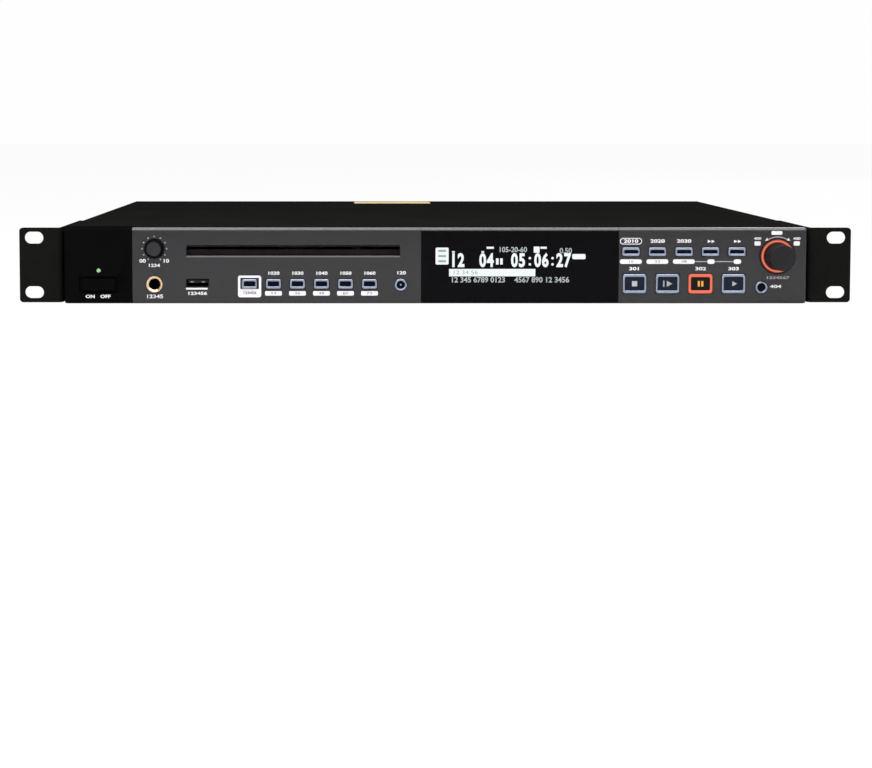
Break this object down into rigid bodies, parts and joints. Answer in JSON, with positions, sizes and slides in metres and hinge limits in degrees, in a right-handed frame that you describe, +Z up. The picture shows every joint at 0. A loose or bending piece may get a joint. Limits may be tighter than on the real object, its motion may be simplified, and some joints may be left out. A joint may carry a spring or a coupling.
{
  "type": "rack-mount disc player",
  "caption": "One-unit 19 inch rack disc player with slot loader, keys, display window, level knob and jog dial, and audio, control and mains sockets behind.",
  "frame": {"origin": "middle of the four rack slots, in the plane of the rack rails (the backs of the ears)", "axes": "+X to the right seen from the front, +Y to the back of the case, +Z up"},
  "size_m": [0.482, 0.305, 0.044],
  "materials": {
    "cover_steel": "black powder coat, fine texture",
    "ear_steel": "black powder coat",
    "panel_steel": "black paint with screen print",
    "tray_steel": "zinc plated sheet",
    "black_abs": "fine moulded texture",
    "grey_front": "grey anodised, fine brushed",
    "window_acrylic": "polished smoked acrylic",
    "green_light": "clear light pipe",
    "felt": "brown felt",
    "bright_frame": "satin chrome",
    "orange_light": "translucent, lit",
    "key_cap": "dark translucent",
    "black_key": "fine moulded texture",
    "knob_black": "moulded, spun face",
    "gold_plate": "gold plated",
    "bright_steel": "bright nickel plate",
    "shaft_steel": "ground",
    "roller_rubber": "matt",
    "moulded_white": "moulded",
    "deck_black": "moulded",
    "board_green": "solder mask",
    "display_glass": "vacuum display glass",
    "cable_grey": "flat cable",
    "connector_black": "moulded"
  },
  "bodies": {
    "case": {"bezel": "black_abs", "front_plate_left": "grey_front", "front_plate_right": "grey_front", "display_window": "window_acrylic", "power_light": "green_light", "slot_felts": "felt", "key_frames": "bright_frame", "pause_frame": "orange_light", "jog_light_ring": "orange_light", "phones_jack": "gold_plate", "usb_port": "bright_steel", "chassis_tray": "tray_steel", "top_cover": "cover_steel", "rear_panel": "panel_steel", "rack_ear_left": "ear_steel", "rack_ear_right": "ear_steel", "case_screws": "bright_steel", "loader_frame": "tray_steel", "loading_motor": "bright_steel", "drive_belt": "roller_rubber", "deck_plate": "deck_black", "deck_motors": "bright_steel", "front_board": "board_green", "display_module": "display_glass", "main_board": "board_green", "power_supply": "board_green", "cables": "cable_grey", "xlr_sockets": "connector_black", "rca_jacks": "connector_black", "dsub_sockets": "bright_steel", "mains_inlet": "connector_black"},
    "small_key_1": {"small_key_1": "key_cap"},
    "small_key_2": {"small_key_2": "key_cap"},
    "small_key_3": {"small_key_3": "key_cap"},
    "small_key_4": {"small_key_4": "key_cap"},
    "small_key_5": {"small_key_5": "key_cap"},
    "small_key_6": {"small_key_6": "key_cap"},
    "upper_key_1": {"upper_key_1": "key_cap"},
    "upper_key_2": {"upper_key_2": "key_cap"},
    "upper_key_3": {"upper_key_3": "key_cap"},
    "upper_key_4": {"upper_key_4": "key_cap"},
    "upper_key_5": {"upper_key_5": "key_cap"},
    "stop_key": {"stop_key": "key_cap"},
    "cue_key": {"cue_key": "key_cap"},
    "pause_key": {"pause_key": "key_cap"},
    "play_key": {"play_key": "key_cap"},
    "eject_key": {"eject_key": "key_cap"},
    "back_key": {"back_key": "key_cap"},
    "power_key": {"power_key": "black_key"},
    "level_knob": {"level_knob": "knob_black"},
    "jog_plunger": {"jog_plunger": "shaft_steel"},
    "jog_knob": {"jog_knob": "knob_black"},
    "feed_roller": {"feed_roller": "roller_rubber"},
    "motor_pulley": {"motor_pulley": "moulded_white"},
    "turntable": {"turntable": "deck_black"},
    "clamp_arm": {"clamp_arm": "tray_steel"},
    "clamp_puck": {"clamp_puck": "moulded_white"},
    "pickup_sled": {"pickup_sled": "deck_black"},
    "lead_screw": {"lead_screw": "shaft_steel"}
  },
  "joints": [
    {"name": "small_key_1_press", "type": "slide", "parent": "case", "child": "small_key_1", "axis": [0, 1, 0], "range_m": [0, 0.0005], "stiffness_N_per_m": 1500},
    {"name": "small_key_2_press", "type": "slide", "parent": "case", "child": "small_key_2", "axis": [0, 1, 0], "range_m": [0, 0.0005], "stiffness_N_per_m": 1500},
    {"name": "small_key_3_press", "type": "slide", "parent": "case", "child": "small_key_3", "axis": [0, 1, 0], "range_m": [0, 0.0005], "stiffness_N_per_m": 1500},
    {"name": "small_key_4_press", "type": "slide", "parent": "case", "child": "small_key_4", "axis": [0, 1, 0], "range_m": [0, 0.0005], "stiffness_N_per_m": 1500},
    {"name": "small_key_5_press", "type": "slide", "parent": "case", "child": "small_key_5", "axis": [0, 1, 0], "range_m": [0, 0.0005], "stiffness_N_per_m": 1500},
    {"name": "small_key_6_press", "type": "slide", "parent": "case", "child": "small_key_6", "axis": [0, 1, 0], "range_m": [0, 0.0005], "stiffness_N_per_m": 1500},
    {"name": "upper_key_1_press", "type": "slide", "parent": "case", "child": "upper_key_1", "axis": [0, 1, 0], "range_m": [0, 0.0005], "stiffness_N_per_m": 1500},
    {"name": "upper_key_2_press", "type": "slide", "parent": "case", "child": "upper_key_2", "axis": [0, 1, 0], "range_m": [0, 0.0005], "stiffness_N_per_m": 1500},
    {"name": "upper_key_3_press", "type": "slide", "parent": "case", "child": "upper_key_3", "axis": [0, 1, 0], "range_m": [0, 0.0005], "stiffness_N_per_m": 1500},
    {"name": "upper_key_4_press", "type": "slide", "parent": "case", "child": "upper_key_4", "axis": [0, 1, 0], "range_m": [0, 0.0005], "stiffness_N_per_m": 1500},
    {"name": "upper_key_5_press", "type": "slide", "parent": "case", "child": "upper_key_5", "axis": [0, 1, 0], "range_m": [0, 0.0005], "stiffness_N_per_m": 1500},
    {"name": "stop_key_press", "type": "slide", "parent": "case", "child": "stop_key", "axis": [0, 1, 0], "range_m": [0, 0.0005], "stiffness_N_per_m": 1500},
    {"name": "cue_key_press", "type": "slide", "parent": "case", "child": "cue_key", "axis": [0, 1, 0], "range_m": [0, 0.0005], "stiffness_N_per_m": 1500},
    {"name": "pause_key_press", "type": "slide", "parent": "case", "child": "pause_key", "axis": [0, 1, 0], "range_m": [0, 0.0005], "stiffness_N_per_m": 1500},
    {"name": "play_key_press", "type": "slide", "parent": "case", "child": "play_key", "axis": [0, 1, 0], "range_m": [0, 0.0005], "stiffness_N_per_m": 1500},
    {"name": "eject_key_press", "type": "slide", "parent": "case", "child": "eject_key", "axis": [0, 1, 0], "range_m": [0, 0.0005], "stiffness_N_per_m": 1500},
    {"name": "back_key_press", "type": "slide", "parent": "case", "child": "back_key", "axis": [0, 1, 0], "range_m": [0, 0.0005], "stiffness_N_per_m": 1500},
    {"name": "power_key_press", "type": "slide", "parent": "case", "child": "power_key", "axis": [0, 1, 0], "range_m": [0, 0.001], "stiffness_N_per_m": 1200},
    {"name": "level_turn", "type": "hinge", "parent": "case", "child": "level_knob", "pos_m": [-0.1622, -0.008, 0.00985], "axis": [0, 1, 0], "range_deg": [-150, 150]},
    {"name": "jog_press", "type": "slide", "parent": "case", "child": "jog_plunger", "axis": [0, 1, 0], "range_m": [0, 0.0005], "stiffness_N_per_m": 2000},
    {"name": "jog_turn", "type": "hinge", "parent": "jog_plunger", "child": "jog_knob", "pos_m": [0.1974, -0.01, 0.0055], "axis": [0, 1, 0], "continuous": true},
    {"name": "roller_spin", "type": "hinge", "parent": "case", "child": "feed_roller", "pos_m": [-0.0821, 0.022, 0.0032], "axis": [1, 0, 0], "continuous": true},
    {"name": "motor_pulley_spin", "type": "hinge", "parent": "case", "child": "motor_pulley", "pos_m": [-0.008, 0.055, -0.007], "axis": [1, 0, 0], "continuous": true},
    {"name": "turntable_spin", "type": "hinge", "parent": "case", "child": "turntable", "pos_m": [-0.0821, 0.09, 0.0052], "axis": [0, 0, 1], "continuous": true},
    {"name": "clamp_swing", "type": "hinge", "parent": "case", "child": "clamp_arm", "pos_m": [-0.0821, 0.168, 0.015], "axis": [1, 0, 0], "range_deg": [0, 3.8], "stiffness_Nm_per_rad": 0.05, "springref_deg": -45.84},
    {"name": "puck_spin", "type": "hinge", "parent": "clamp_arm", "child": "clamp_puck", "pos_m": [-0.0821, 0.09, 0.013], "axis": [0, 0, 1], "continuous": true},
    {"name": "sled_slide", "type": "slide", "parent": "case", "child": "pickup_sled", "axis": [0, 1, 0], "range_m": [0, 0.035]},
    {"name": "screw_turn", "type": "hinge", "parent": "case", "child": "lead_screw", "pos_m": [-0.0456, 0.13, -0.0005], "axis": [0, 1, 0], "range_deg": [0, 4210]}
  ],
  "couplings": [
    {"joint": "motor_pulley_spin", "follows": "roller_spin", "ratio": 2.8},
    {"joint": "screw_turn", "follows": "sled_slide", "rad_per_m": 2094.4}
  ]
}
